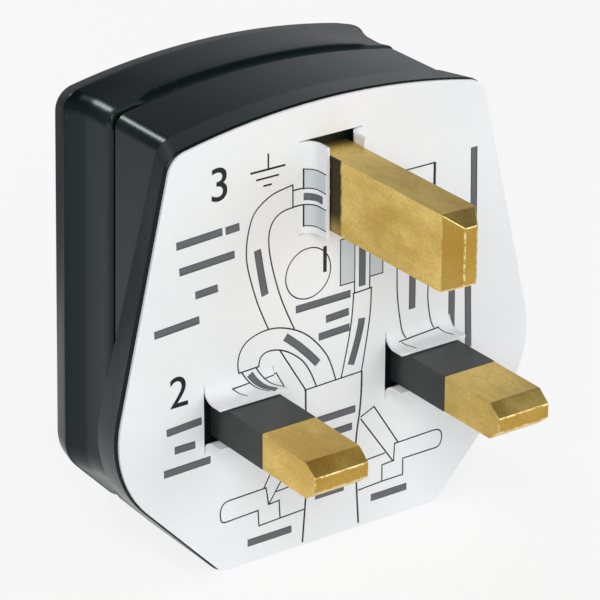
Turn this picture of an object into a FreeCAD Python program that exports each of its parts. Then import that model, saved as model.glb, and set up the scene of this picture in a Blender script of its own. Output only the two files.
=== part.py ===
import FreeCAD, Part
import math
import os

import Sketcher

# A rewirable three pin mains plug, standing upright on its cord entry side.
# Millimetres. The origin is on the face of the wiring card, midway between the two lower pins.
# X runs to the right as seen from the pins, Y runs into the body, Z runs up to the earth pin.

SIZES = {
    # pins, from the standard for this plug
    "pin_spacing": 22.23,         # between the centres of the two lower pins
    "earth_height": 22.23,        # earth pin centre above the line of the lower pins
    "pin_width": 6.35,
    "pin_thickness": 3.97,
    "pin_reach": 17.7,            # from the face of the card to the tip
    "pin_tip_length": 1.5,        # bevelled end of a lower pin
    "pin_tip_inset": 1.2,
    "earth_width": 3.97,
    "earth_tall": 7.92,
    "earth_reach": 22.73,
    "earth_tip_length": 2.0,
    "earth_tip_side_inset": 1.25,
    "earth_tip_top_inset": 0.95,
    "sleeve_reach": 8.73,         # insulated part of a lower pin, from the face of the card
    "sleeve_root": 2.0,           # how far the sleeve goes on into the base
    "sleeve_wall": 0.55,
    "slot_clearance": 0.05,
    # wiring card
    "card_thickness": 0.3,
    "card_edge": 0.1,             # the card stops this far inside the flange's slanted sides and foot
    "card_margin": 0.08,          # and this much further in at its upper sides
    "card_top_margin": 0.07,
    "card_shift": 0.15,           # the loose card sits a little to the right
    "flap_bend": 1.4,             # inside radius of a flap's fold
    "flap_gap": 0.1,              # between a flap and the pin that pushed it out
    "slit_overrun": 1.0,          # a slit runs on past the pin at each end
    "slit_width": 0.1,
    # outlines of the mouldings
    "head_room": 0.65,            # between the inner end of a lower pin and the cover's tongue
    "top_room": 1.95,             # between the inner end of the earth pin and the top wall
    "side_taper": 1.1,            # the sides behind the flange come in by this much towards the top
    "flange_reach": 15.55,        # knee of the front face, sideways from a lower pin
    "flange_step": 1.65,          # how far the front face stands out at its shoulders
    "flange_rise": 0.42,          # how far it stands up at the top
    "lip_draft": 0.15,            # how far the flange's back edge draws in at the knee
    "lip_step": 0.35,
    "lip_rise": 0.15,
    "cover_overhang": 1.3,
    "cover_rise": 0.28,
    "arch_radius": 81.0,
    "slant": 47.0,                # slope of the two lower sides, in degrees
    "bottom_half": 13.6,
    "bottom_drop": 17.8,          # flat bottom below the line of the lower pins
    "shoulder_round": 2.6,
    "knee_round": 12.0,
    "waist_shoulder_round": 1.6,
    "waist_knee_round": 2.0,
    "foot_round": 2.0,            # corners of the flat bottom
    "cover_shoulder_round": 2.2,
    "cover_knee_round": 4.5,
    "cover_foot_round": 3.2,
    # base
    "base_floor": 3.2,
    "flange_depth": 3.7,
    "base_depth": 12.4,
    "wall": 2.2,
    "face_edge": 0.2,             # bevel round the front face
    "rim_edge": 0.4,              # bevel of the base's back rim, at the groove
    # cover
    "cover_depth": 11.8,
    "cover_wall": 2.2,
    "cover_back_round": 4.2,      # depth of its back edge, which turns in three flat steps
    "cover_back_draw": 3.3,       # how far the back edge draws in
    "back_corner_growth": 0.6,    # its corners get rounder by this share of that
    "cover_rim_edge": 1.4,        # bevel of its front rim, at the groove
    "tongue_height": 0.8,         # rim that locates the cover inside the base
    "tongue_wall": 0.7,
    "tongue_clearance": 0.1,
    # cord entry and grip
    "entry_radius": 4.0,
    "jaw_tip_half": 2.8,          # half the gap between the two jaws
    "jaw_tip_width": 1.8,
    "jaw_tip_drop": 5.0,          # height of the tips below the line of the lower pins
    "jaw_foot_inner": 5.4,
    "jaw_foot_outer": 12.5,
    "jaw_root_width": 1.8,
    "jaw_foot_drop": 9.2,
    "jaw_foot_thickness": 2.0,
    "jaw_height": 13.0,
    "jaw_rib_width": 1.2,
    "jaw_rib_length": 4.0,
    "jaw_rib_height": 4.0,
    "jaw_clearance": 0.1,
    # terminals
    "head_width": 7.2,            # inner block of a lower pin
    "head_tall": 7.0,
    "earth_head_width": 6.0,
    "earth_head_tall": 8.6,
    "head_depth": 8.0,
    "wire_hole_radius": 1.5,
    "wire_hole_depth": 4.3,       # from the back of a terminal to its wire hole
    "terminal_screw_radius": 1.5,
    "terminal_screw_length": 3.2,
    "terminal_screw_head_radius": 2.2,
    "terminal_screw_head_height": 1.5,
    "screw_slot_width": 0.7,
    "screw_slot_depth": 0.7,
    "thread_clearance": 0.03,
    # fuse and its clips
    "seat_height": 2.5,           # both clips sit this far above the floor of the base
    "fuse_length": 25.4,
    "cap_radius": 3.175,
    "cap_length": 5.6,
    "cap_end": 0.4,
    "barrel_radius": 2.85,
    "clip_thickness": 0.5,
    "clip_clearance": 0.03,
    "clip_margin": 0.2,           # the cap shows this much at each side of its clip
    "clip_mouth": 62.0,           # half the open angle of a clip, in degrees
    "clip_plate_half": 3.1,
    "tenon_radius": 1.2,
    "live_head_tall": 6.4,
    "terminal_width": 5.0,
    "terminal_tall": 6.0,
    "terminal_depth": 6.8,
    "terminal_offset": 6.5,       # live terminal to the right of the fuse
    "terminal_height": 12.6,      # live terminal above the line of the lower pins
    # cover screw
    "screw_height": 11.6,
    "screw_radius": 1.7,
    "screw_length": 15.5,
    "screw_head_radius": 3.0,
    "screw_head_height": 1.9,
    "screw_seat_depth": 2.1,
    "screw_clearance": 0.2,
    "boss_wall": 1.5,
    "boss_height": 7.5,
    "retainer_radius": 3.0,
    "retainer_thickness": 0.8,
    "insert_radius": 2.7,
    "insert_length": 7.0,
    "insert_gap": 0.2,            # between the retainer and the cover's boss
    "insert_boss_wall": 1.5,
    "insert_boss_room": 0.5,      # between that boss and the live terminal
    "insert_hole_extra": 1.0,     # room past the end of the insert
    # stops and ribs
    "post_width": 1.8,
    "post_clearance": 0.1,
    "barrier_thickness": 1.0,
    "barrier_room": 0.8,          # between a barrier and the inner end of a lower pin
    "barrier_top": 7.0,
    "barrier_drop": 4.0,
    "barrier_height": 6.0,
}

# The back edge of the cover turns by so many degrees at each of its steps
BACK_TURNS = (0, 30, 60, 90)

doc = FreeCAD.newDocument("three_pin_plug")
sheet = doc.addObject("Spreadsheet::Sheet", "sizes")
for row, (alias, number) in enumerate(SIZES.items(), start=1):
    sheet.set("A%d" % row, alias)
    sheet.set("B%d" % row, str(number))
    sheet.setAlias("B%d" % row, alias)
doc.recompute()


class Size:
    """A length or an angle: its number, and the sheet formula that it comes from."""

    def __init__(self, formula, number):
        self.formula = formula
        self.number = number

    def __add__(self, other):
        other = as_size(other)
        return Size("(%s + %s)" % (self.formula, other.formula), self.number + other.number)

    def __sub__(self, other):
        other = as_size(other)
        return Size("(%s - %s)" % (self.formula, other.formula), self.number - other.number)

    def __mul__(self, other):
        other = as_size(other)
        return Size("(%s * %s)" % (self.formula, other.formula), self.number * other.number)

    def __truediv__(self, other):
        other = as_size(other)
        return Size("(%s / %s)" % (self.formula, other.formula), self.number / other.number)

    def __radd__(self, other):
        return as_size(other) + self

    def __rsub__(self, other):
        return as_size(other) - self

    __rmul__ = __mul__

    def __neg__(self):
        return Size("(0 - %s)" % self.formula, -self.number)


def as_size(value):
    return value if isinstance(value, Size) else Size(repr(float(value)), float(value))


class SheetSizes:
    """Gives each cell of the sheet by its alias."""

    def __getattr__(self, alias):
        return Size("sizes." + alias, SIZES[alias])


def tangent(angle):
    return Size("tan(%s)" % angle.formula, math.tan(math.radians(angle.number)))


def cosine(angle):
    return Size("cos(%s)" % angle.formula, math.cos(math.radians(angle.number)))


def sine(angle):
    return Size("sin(%s)" % angle.formula, math.sin(math.radians(angle.number)))


def root(value):
    return Size("sqrt(%s)" % value.formula, math.sqrt(value.number))


def bind(thing, name, value):
    thing.setExpression(name, as_size(value).formula)


s = SheetSizes()
face = s.card_thickness
floor = face + s.base_floor
lip = face + s.flange_depth
parting = face + s.base_depth
back = parting + s.cover_depth
cover_floor = back - s.cover_wall
pin_half = s.pin_spacing / 2
seat = floor + s.seat_height
fuse_depth = seat + s.clip_thickness + s.clip_clearance + s.cap_radius
clip_length = s.cap_length - 2 * s.clip_margin
upper_cap_height = s.fuse_length - s.cap_length
head_back = floor + s.head_depth
terminal_back = seat + s.clip_thickness + s.terminal_depth
terminal_x = s.terminal_offset - pin_half
insert_boss_width = 2 * (s.insert_radius + s.insert_boss_wall)
screw_x = terminal_x + s.terminal_width / 2 + s.insert_boss_room + insert_boss_width / 2
head_edge = pin_half + s.head_width / 2
screw_seat = face + s.screw_seat_depth
boss_back = floor + s.boss_height
insert_front = boss_back + s.retainer_thickness + s.insert_gap
tongue_inset = s.wall + s.tongue_clearance + s.tongue_wall
near_enough = 0.005
half_root = math.sqrt(0.5)


# Bodies, sketches and features

def new_body(label, x=0, y=0, z=0):
    body = doc.addObject("PartDesign::Body", label)
    body.Label = label
    bind(body, "Placement.Base.x", x)
    bind(body, "Placement.Base.y", y)
    bind(body, "Placement.Base.z", z)
    return body


def new_sketch(body, plane, offset=0):
    """A sketch on one of the body's own planes, moved along the plane's normal."""
    sketch = body.newObject("Sketcher::SketchObject", body.Label + "_sketch")
    origin_plane = next(item for item in body.Origin.OriginFeatures if item.Role == plane + "_Plane")
    sketch.AttachmentSupport = (origin_plane, [""])
    sketch.MapMode = "FlatFace"
    bind(sketch, "AttachmentOffset.Base.z", offset)
    return sketch


def front_sketch(body, depth):
    """A sketch that faces the pins, at a depth behind the card's face."""
    return new_sketch(body, "XZ", -as_size(depth))


def hold(sketch, kind, geometry, point, value):
    """Ties one coordinate of a point to the sheet."""
    value = as_size(value)
    index = sketch.addConstraint(Sketcher.Constraint(kind, -1, 1, geometry, point, value.number))
    bind(sketch, "Constraints[%d]" % index, value)


def hold_radius(sketch, geometry, value):
    index = sketch.addConstraint(Sketcher.Constraint("Radius", geometry, value.number))
    bind(sketch, "Constraints[%d]" % index, value)


def vector(point):
    return FreeCAD.Vector(as_size(point[0]).number, as_size(point[1]).number, 0)


def polygon(sketch, points):
    first = sketch.GeometryCount
    count = len(points)
    for index, point in enumerate(points):
        sketch.addGeometry(Part.LineSegment(vector(point), vector(points[(index + 1) % count])))
    for index, point in enumerate(points):
        following = first + (index + 1) % count
        sketch.addConstraint(Sketcher.Constraint("Coincident", first + index, 2, following, 1))
        hold(sketch, "DistanceX", first + index, 1, point[0])
        hold(sketch, "DistanceY", first + index, 1, point[1])


def rectangle(sketch, left, right, bottom, top):
    polygon(sketch, [(left, bottom), (right, bottom), (right, top), (left, top)])


def centred(sketch, width, tall, x=0, y=0):
    rectangle(sketch, x - width / 2, x + width / 2, y - tall / 2, y + tall / 2)


def circle(sketch, x, y, radius):
    shape = Part.Circle(vector((x, y)), FreeCAD.Vector(0, 0, 1), radius.number)
    index = sketch.addGeometry(shape)
    hold(sketch, "DistanceX", index, 3, x)
    hold(sketch, "DistanceY", index, 3, y)
    hold_radius(sketch, index, radius)


def feature(body, kind, sketch, length, outwards):
    """Adds a Pad or a Pocket; outwards is towards the pins on a front sketch, and up on a flat one."""
    item = body.newObject("PartDesign::" + kind, body.Label + "_" + kind.lower())
    item.Profile = sketch
    item.AllowMultiFace = True
    item.Reversed = outwards if kind == "Pocket" else not outwards
    bind(item, "Length", length)
    return item


def pad(body, sketch, length, outwards=False):
    return feature(body, "Pad", sketch, length, outwards)


def pocket(body, sketch, length, outwards=False):
    return feature(body, "Pocket", sketch, length, outwards)


def pad_both_ways(body, sketch, length):
    item = feature(body, "Pad", sketch, length, True)
    item.SideType = "Symmetric"
    return item


def bore_through(body, sketch):
    item = body.newObject("PartDesign::Pocket", body.Label + "_bore")
    item.Profile = sketch
    item.Type = "ThroughAll"
    item.SideType = "Symmetric"
    return item


def loft(body, first, last):
    item = body.newObject("PartDesign::AdditiveLoft", body.Label + "_loft")
    item.Profile = first
    item.Sections = [last]
    item.Ruled = True
    return item


def near(value, target):
    return abs(value - target) < near_enough


def bevel_edge(body, base, depth, size):
    """Bevels all the edges of a shape that lie at one depth."""
    names = []
    for index, edge in enumerate(base.Shape.Edges, start=1):
        box = edge.BoundBox
        if near(box.YMin, depth.number) and near(box.YMax, depth.number):
            names.append("Edge%d" % index)
    if not names:
        raise RuntimeError("no edge to bevel on " + body.Label)
    item = body.newObject("PartDesign::Chamfer", body.Label + "_bevel")
    item.Base = (base, names)
    bind(item, "Size", size)
    doc.recompute()
    return item


# Outline of the mouldings: an arched top, sides that slope out to a knee, slanted lower sides, a flat foot

class Outline:
    def __init__(self, top_half, knee_half, top, rounds, inset=0):
        arch = s.arch_radius - inset
        self.arch = arch
        self.top = top - inset
        half = top_half - inset
        knee_rise = tangent(s.slant) * (knee_half - s.bottom_half)
        shoulder = (half, self.top - arch + root(arch * arch - half * half))
        knee = (knee_half - inset, knee_rise - s.bottom_drop + tangent(45 - s.slant / 2) * inset)
        foot = (s.bottom_half - tangent(s.slant / 2) * inset, inset - s.bottom_drop)
        self.corners = [shoulder, knee, foot]
        self.rounds = [radius - inset for radius in rounds]

    def draw(self, sketch, shift=0):
        """Adds the closed outline: the arch, five straight sides and an arc at each of six corners."""
        arch = sketch.GeometryCount
        corners = [(shift - x, z) for x, z in self.corners]
        corners += [(shift + x, z) for x, z in reversed(self.corners)]
        rounds = self.rounds + self.rounds[::-1]
        middle = FreeCAD.Vector(as_size(shift).number, (self.top - self.arch).number, 0)
        start = vector(corners[-1]) - middle
        angle = math.atan2(start.y, start.x)
        round_top = Part.Circle(middle, FreeCAD.Vector(0, 0, 1), self.arch.number)
        sketch.addGeometry(Part.ArcOfCircle(round_top, angle, math.pi - angle))
        for here, there in zip(corners, corners[1:]):
            sketch.addGeometry(Part.LineSegment(vector(here), vector(there)))
        sides = [arch + index for index in range(len(corners))]
        hold_radius(sketch, arch, self.arch)
        for index, (corner, radius) in enumerate(zip(corners, rounds)):
            before, after = sides[index], sides[(index + 1) % len(sides)]
            sketch.addConstraint(Sketcher.Constraint("Coincident", before, 2, after, 1))
            if radius.number > 0:
                round_corner(sketch, before, after, corner, radius)
            else:
                hold(sketch, "DistanceX", after, 1, corner[0])
                hold(sketch, "DistanceY", after, 1, corner[1])


def middle_of(sketch, geometry):
    curve = sketch.Geometry[geometry]
    return curve.value((curve.FirstParameter + curve.LastParameter) / 2)


def round_corner(sketch, before, after, corner, radius):
    """Replaces a corner by an arc, and keeps the point where the two sides would meet."""
    arc = sketch.GeometryCount
    ends = middle_of(sketch, before), middle_of(sketch, after)
    sketch.fillet(before, after, *ends, radius.number, True, False)
    hold_radius(sketch, arc, radius)
    point = sketch.addGeometry(Part.Point(vector(corner)))
    sketch.toggleConstruction(point)
    sketch.addConstraint(Sketcher.Constraint("PointOnObject", point, 1, before))
    sketch.addConstraint(Sketcher.Constraint("PointOnObject", point, 1, after))
    hold(sketch, "DistanceX", point, 1, corner[0])
    hold(sketch, "DistanceY", point, 1, corner[1])


flange_rounds = (s.shoulder_round, s.knee_round, s.foot_round)
waist_rounds = (s.waist_shoulder_round, s.waist_knee_round, s.foot_round)
cover_rounds = (s.cover_shoulder_round, s.cover_knee_round, s.cover_foot_round)
waist_knee = head_edge + s.head_room + tongue_inset
waist_shoulder = waist_knee - s.side_taper
waist_top = s.earth_height + s.earth_head_tall / 2 + s.top_room + s.wall
flange_shoulder = waist_shoulder + s.flange_step
flange_knee = pin_half + s.flange_reach
flange_top = waist_top + s.flange_rise


def flange_outline(inset=0):
    return Outline(flange_shoulder, flange_knee, flange_top, flange_rounds, inset)


def card_outline():
    margin = s.card_margin
    top = flange_top - s.card_top_margin
    return Outline(flange_shoulder - margin, flange_knee - margin, top, flange_rounds, s.card_edge)


def lip_outline():
    shoulder = waist_shoulder + s.lip_step
    return Outline(shoulder, flange_knee - s.lip_draft, waist_top + s.lip_rise, flange_rounds)


def waist_outline(inset=0):
    return Outline(waist_shoulder, waist_knee, waist_top, waist_rounds, inset)


def cover_outline(inset=0):
    """Outline of the cover, with corners that get rounder as its back edge draws in."""
    out = s.cover_overhang
    rounds = [radius + inset + s.back_corner_growth * inset for radius in cover_rounds]
    return Outline(waist_shoulder + out, waist_knee + out, waist_top + s.cover_rise, rounds, inset)


def cover_back_section(turn):
    """Depth and outline of the cover where its back edge has turned by so many degrees."""
    turned = as_size(turn)
    inset = s.cover_back_draw * (1 - cosine(turned))
    depth = back - s.cover_back_round * (1 - sine(turned))
    return depth, cover_outline(inset)


def outline_sketch(body, depth, outline):
    sketch = front_sketch(body, depth)
    outline.draw(sketch)
    return sketch


def loft_sections(body, *sections):
    """Lofts from each section to the next; a section is a depth and an outline."""
    for first, last in zip(sections, sections[1:]):
        loft(body, outline_sketch(body, *first), outline_sketch(body, *last))


def cut_cord_entry(body):
    """Half of the round cord entry, through the bottom wall."""
    sketch = new_sketch(body, "XY", -s.bottom_drop)
    circle(sketch, 0, parting, s.entry_radius)
    pocket(body, sketch, tongue_inset, outwards=True)


def terminal_plate(x, z):
    """Outline under the upper clip and the live terminal, from the middle of that clip at x, z."""
    left = x - s.clip_plate_half
    right = x + s.clip_plate_half
    far = x + s.terminal_offset + s.terminal_width / 2
    top = z + clip_length / 2
    terminal_z = z + s.terminal_height - upper_cap_height
    low = terminal_z - s.terminal_tall / 2
    high = terminal_z + s.terminal_tall / 2
    return [(left, low), (far, low), (far, high), (right, high), (right, top), (left, top)]


# Base: flared flange, narrower sides behind it, and the seats of what it carries

def make_base():
    body = new_body("base")
    front = (face, flange_outline(s.face_edge))
    loft_sections(body, front, (face + s.face_edge, flange_outline()), (lip, lip_outline()))
    waist = pad(body, outline_sketch(body, lip, waist_outline()), parting - lip)
    doc.recompute()
    bevel_edge(body, waist, parting, s.rim_edge)
    pocket(body, outline_sketch(body, parting, waist_outline(s.wall)), parting - floor, outwards=True)

    slots = front_sketch(body, face)
    clear = 2 * s.slot_clearance
    for x in (-pin_half, pin_half):
        centred(slots, s.pin_width + clear, s.pin_thickness + clear, x)
    centred(slots, s.earth_width + clear, s.earth_tall + clear, 0, s.earth_height)
    pocket(body, slots, s.base_floor)

    pedestal = front_sketch(body, floor)
    polygon(pedestal, terminal_plate(-pin_half, upper_cap_height))
    pad(body, pedestal, s.seat_height)

    barriers = front_sketch(body, floor)
    ribs = front_sketch(body, floor)
    above = s.jaw_clearance - s.jaw_foot_drop + s.jaw_rib_width / 2
    below = -s.jaw_foot_drop - s.jaw_foot_thickness - s.jaw_clearance - s.jaw_rib_width / 2
    for side in (-1, 1):
        barrier_x = side * (pin_half - s.head_width / 2 - s.barrier_room - s.barrier_thickness / 2)
        barrier_z = (s.barrier_top - s.barrier_drop) / 2
        centred(barriers, s.barrier_thickness, s.barrier_top + s.barrier_drop, barrier_x, barrier_z)
        rib_x = side * (s.jaw_foot_outer - s.jaw_rib_length / 2)
        for rib_z in (above, below):
            centred(ribs, s.jaw_rib_length, s.jaw_rib_width, rib_x, rib_z)
    pad(body, barriers, s.barrier_height)
    pad(body, ribs, s.jaw_rib_height)

    hole_radius = s.screw_radius + s.screw_clearance
    boss = front_sketch(body, floor)
    boss_width = 2 * (hole_radius + s.boss_wall)
    centred(boss, boss_width, boss_width, screw_x, s.screw_height)
    pad(body, boss, s.boss_height)
    hole = front_sketch(body, face)
    circle(hole, screw_x, s.screw_height, hole_radius)
    pocket(body, hole, boss_back - face)
    counterbore = front_sketch(body, face)
    circle(counterbore, screw_x, s.screw_height, s.screw_head_radius + s.screw_clearance)
    pocket(body, counterbore, s.screw_seat_depth)
    cut_cord_entry(body)
    return body


# Cover: a shell with a rounded back, a locating tongue, the boss of the insert and four stops

def make_cover():
    body = new_body("cover")
    sides = pad(body, outline_sketch(body, parting, cover_outline()), s.cover_depth - s.cover_back_round)
    doc.recompute()
    bevel_edge(body, sides, parting, s.cover_rim_edge)
    loft_sections(body, *[cover_back_section(turn) for turn in BACK_TURNS])
    pocket(body, outline_sketch(body, parting, waist_outline(tongue_inset)), cover_floor - parting)

    tongue = front_sketch(body, parting)
    waist_outline(s.wall + s.tongue_clearance).draw(tongue)
    waist_outline(tongue_inset).draw(tongue)
    pad(body, tongue, s.tongue_height, outwards=True)

    boss = front_sketch(body, insert_front)
    centred(boss, insert_boss_width, insert_boss_width, screw_x, s.screw_height)
    pad(body, boss, cover_floor - insert_front)
    hole = front_sketch(body, insert_front)
    circle(hole, screw_x, s.screw_height, s.insert_radius + s.thread_clearance)
    pocket(body, hole, s.insert_length + s.insert_hole_extra)

    fuse_stop = fuse_depth + s.cap_radius + s.post_clearance
    head_stop = head_back + s.post_clearance
    half_post = s.post_width / 2
    for x, z, front in (
        (0, s.earth_height + s.earth_head_tall / 2 - half_post, head_stop),
        (head_edge - half_post, s.head_tall / 2 - half_post, head_stop),
        (-pin_half, 0, fuse_stop),
        (-pin_half, upper_cap_height, fuse_stop),
    ):
        post = front_sketch(body, front)
        centred(post, s.post_width, s.post_width, x, z)
        pad(body, post, cover_floor - front)
    cut_cord_entry(body)
    return body


# Pins: each has its own axis through its own origin, on the face of the card

def pin_shank(body, width, tall, reach, tip_length, tip_width, tip_tall):
    """The bar from the floor of the base out to the bevelled tip."""
    bar = front_sketch(body, floor)
    centred(bar, width, tall)
    pad(body, bar, floor + reach - tip_length, outwards=True)
    root_of_tip = front_sketch(body, tip_length - reach)
    centred(root_of_tip, width, tall)
    end_of_tip = front_sketch(body, -reach)
    centred(end_of_tip, tip_width, tip_tall)
    loft(body, root_of_tip, end_of_tip)


def terminal_head(body, width, tall, wire_plane):
    """The inner block of a pin, with a wire hole across it and a screw hole from the back."""
    block = front_sketch(body, floor)
    centred(block, width, tall)
    pad(body, block, s.head_depth)
    wire = new_sketch(body, wire_plane)
    wire_depth = head_back - s.wire_hole_depth
    place = (0, wire_depth) if wire_plane == "XY" else (wire_depth, 0)
    circle(wire, place[0], place[1], s.wire_hole_radius)
    bore_through(body, wire)
    screw = front_sketch(body, head_back)
    circle(screw, 0, 0, s.terminal_screw_radius + s.thread_clearance)
    pocket(body, screw, s.wire_hole_depth, outwards=True)


def make_lower_pin(label, x):
    """A flat pin with a neck that its sleeve fills."""
    body = new_body(label, x)
    tip_tall = s.pin_thickness - 2 * s.pin_tip_inset
    pin_shank(body, s.pin_width, s.pin_thickness, s.pin_reach, s.pin_tip_length, s.pin_width, tip_tall)
    neck = front_sketch(body, -s.sleeve_reach)
    sleeve_section(neck)
    pocket(body, neck, s.sleeve_reach + s.sleeve_root)
    return body


def sleeve_section(sketch):
    centred(sketch, s.pin_width, s.pin_thickness)
    centred(sketch, s.pin_width - 2 * s.sleeve_wall, s.pin_thickness - 2 * s.sleeve_wall)


def make_neutral_pin():
    body = make_lower_pin("neutral_pin", pin_half)
    terminal_head(body, s.head_width, s.head_tall, "XY")
    return body


def make_live_pin():
    body = make_lower_pin("live_pin", -pin_half)
    block = front_sketch(body, floor)
    centred(block, s.head_width, s.live_head_tall)
    pad(body, block, s.seat_height)
    tenon = front_sketch(body, seat)
    circle(tenon, 0, 0, s.tenon_radius)
    pad(body, tenon, s.clip_thickness)
    return body


def make_earth_pin():
    body = new_body("earth_pin", z=s.earth_height)
    tip_width = s.earth_width - 2 * s.earth_tip_side_inset
    tip_tall = s.earth_tall - 2 * s.earth_tip_top_inset
    pin_shank(body, s.earth_width, s.earth_tall, s.earth_reach, s.earth_tip_length, tip_width, tip_tall)
    terminal_head(body, s.earth_head_width, s.earth_head_tall, "YZ")
    return body


def make_sleeve(label, x):
    body = new_body(label, x)
    section = front_sketch(body, -s.sleeve_reach)
    sleeve_section(section)
    pad(body, section, s.sleeve_reach + s.sleeve_root)
    return body


# Wiring card: slit round each pin, with the flaps folded out along the pin

def fold_distance(pin_size):
    """From the middle of a pin to the fold of its flaps."""
    return pin_size / 2 + s.flap_gap + s.card_thickness + s.flap_bend


def flap_section(sketch, fold, side, upright):
    """Section of a flap: a quarter bend out of the card, then straight along the pin."""
    thick = s.card_thickness
    bend = s.flap_bend
    straight = fold - (bend + thick / 2) * math.pi / 2
    end = -bend - straight
    outer = bend + thick
    outline = [(fold - bend, -bend), (fold - bend, end), (fold - outer, end), (fold - outer, -bend),
               (fold, thick), (fold, 0)]
    middle = [(fold - bend * half_root, bend * half_root - bend),
              (fold - outer * half_root, outer * half_root - bend)]

    def place(point):
        along, depth = side * as_size(point[0]), as_size(point[1])
        return (depth, along) if upright else (along, depth)

    points = [place(point) for point in outline]
    first = sketch.GeometryCount
    for start, stop in ((0, 1), (1, 2), (2, 3), (4, 5)):
        sketch.addGeometry(Part.LineSegment(vector(points[start]), vector(points[stop])))
    for here, there in ((0, 1), (1, 2)):
        sketch.addConstraint(Sketcher.Constraint("Coincident", first + here, 2, first + there, 1))
    corners = [(first, 1), (first, 2), (first + 1, 2), (first + 2, 2), (first + 3, 1), (first + 3, 2)]
    for (line, end_point), point in zip(corners, points):
        hold(sketch, "DistanceX", line, end_point, point[0])
        hold(sketch, "DistanceY", line, end_point, point[1])
    for start, halfway, stop, radius in ((5, middle[0], 0, bend), (3, middle[1], 4, outer)):
        shape = Part.Arc(vector(points[start]), vector(place(halfway)), vector(points[stop]))
        arc = sketch.addGeometry(shape)
        swapped = sketch.getPoint(arc, 1).distanceToPoint(vector(points[start])) > near_enough
        for corner, arc_end in ((start, 2 if swapped else 1), (stop, 1 if swapped else 2)):
            sketch.addConstraint(Sketcher.Constraint("Coincident", arc, arc_end, *corners[corner]))
        hold_radius(sketch, arc, radius)


def make_wiring_card():
    body = new_body("wiring_card")
    sheet_of_card = front_sketch(body, 0)
    card_outline().draw(sheet_of_card, s.card_shift)
    pad(body, sheet_of_card, s.card_thickness)

    lower_fold = fold_distance(s.pin_thickness)
    earth_fold = fold_distance(s.earth_width)
    lower_slit = s.pin_width + 2 * s.slit_overrun
    earth_slit = s.earth_tall + 2 * s.slit_overrun
    openings = front_sketch(body, 0)
    for x in (-pin_half, pin_half):
        centred(openings, lower_slit, 2 * lower_fold, x)
    centred(openings, 2 * earth_fold, earth_slit, 0, s.earth_height)
    pocket(body, openings, s.card_thickness)

    for x in (-pin_half, pin_half):
        section = new_sketch(body, "YZ", x)
        for side in (-1, 1):
            flap_section(section, lower_fold, side, upright=True)
        pad_both_ways(body, section, lower_slit - 2 * s.slit_width)
    section = new_sketch(body, "XY", s.earth_height)
    for side in (-1, 1):
        flap_section(section, earth_fold, side, upright=False)
    pad_both_ways(body, section, earth_slit - 2 * s.slit_width)
    return body


# Fuse and its two spring clips, each with the fuse's axis through its origin

def make_fuse_barrel():
    body = new_body("fuse_barrel", -pin_half, fuse_depth, s.cap_end - s.cap_length / 2)
    section = new_sketch(body, "XY")
    circle(section, 0, 0, s.barrel_radius)
    pad(body, section, s.fuse_length - 2 * s.cap_end, outwards=True)
    return body


def make_fuse_cap(label, end, upwards):
    """A cup over one end of the barrel; upwards means that the cup opens upwards."""
    body = new_body(label, -pin_half, fuse_depth, end)
    outside = new_sketch(body, "XY")
    circle(outside, 0, 0, s.cap_radius)
    pad(body, outside, s.cap_length, outwards=upwards)
    inside = new_sketch(body, "XY", s.cap_end if upwards else -s.cap_end)
    circle(inside, 0, 0, s.barrel_radius)
    pocket(body, inside, s.cap_length - s.cap_end, outwards=upwards)
    return body


clip_inner = s.cap_radius + s.clip_clearance
clip_outer = clip_inner + s.clip_thickness


def clip_ring(body):
    """The open ring that grips a cap, its mouth towards the cover."""
    sketch = new_sketch(body, "XY")
    mouth = math.radians(s.clip_mouth.number)
    start, stop = math.pi / 2 + mouth, math.pi * 5 / 2 - mouth
    ends = []
    for radius in (clip_inner, clip_outer):
        ring = Part.Circle(FreeCAD.Vector(0, 0, 0), FreeCAD.Vector(0, 0, 1), radius.number)
        arc = sketch.addGeometry(Part.ArcOfCircle(ring, start, stop))
        sketch.addConstraint(Sketcher.Constraint("Coincident", arc, 3, -1, 1))
        hold_radius(sketch, arc, radius)
        sketch.addConstraint(Sketcher.Constraint("Symmetric", arc, 1, arc, 2, -2))
        hold(sketch, "DistanceY", arc, 1, radius * cosine(s.clip_mouth))
        ends.append(arc)
    for point in (1, 2):
        tips = [sketch.getPoint(arc, point) for arc in ends]
        line = sketch.addGeometry(Part.LineSegment(tips[0], tips[1]))
        for arc, line_end in zip(ends, (1, 2)):
            sketch.addConstraint(Sketcher.Constraint("Coincident", line, line_end, arc, point))
    pad_both_ways(body, sketch, clip_length)


def clip_foot(body, points, hole_x, hole_z):
    """The flat foot of a clip, with the hole for the tenon that it is riveted by."""
    foot = front_sketch(body, -clip_outer)
    polygon(foot, points)
    pad(body, foot, s.clip_thickness)
    hole = front_sketch(body, -clip_outer)
    circle(hole, hole_x, hole_z, s.tenon_radius + s.thread_clearance)
    pocket(body, hole, clip_outer)


def make_live_fuse_clip():
    body = new_body("live_fuse_clip", -pin_half, fuse_depth, 0)
    clip_ring(body)
    half = s.clip_plate_half
    low, high = -clip_length / 2, clip_length / 2
    clip_foot(body, [(-half, low), (half, low), (half, high), (-half, high)], 0, 0)
    return body


def make_terminal_fuse_clip():
    body = new_body("terminal_fuse_clip", -pin_half, fuse_depth, upper_cap_height)
    clip_ring(body)
    clip_foot(body, terminal_plate(0, 0), s.terminal_offset, s.terminal_height - upper_cap_height)
    return body


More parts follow.
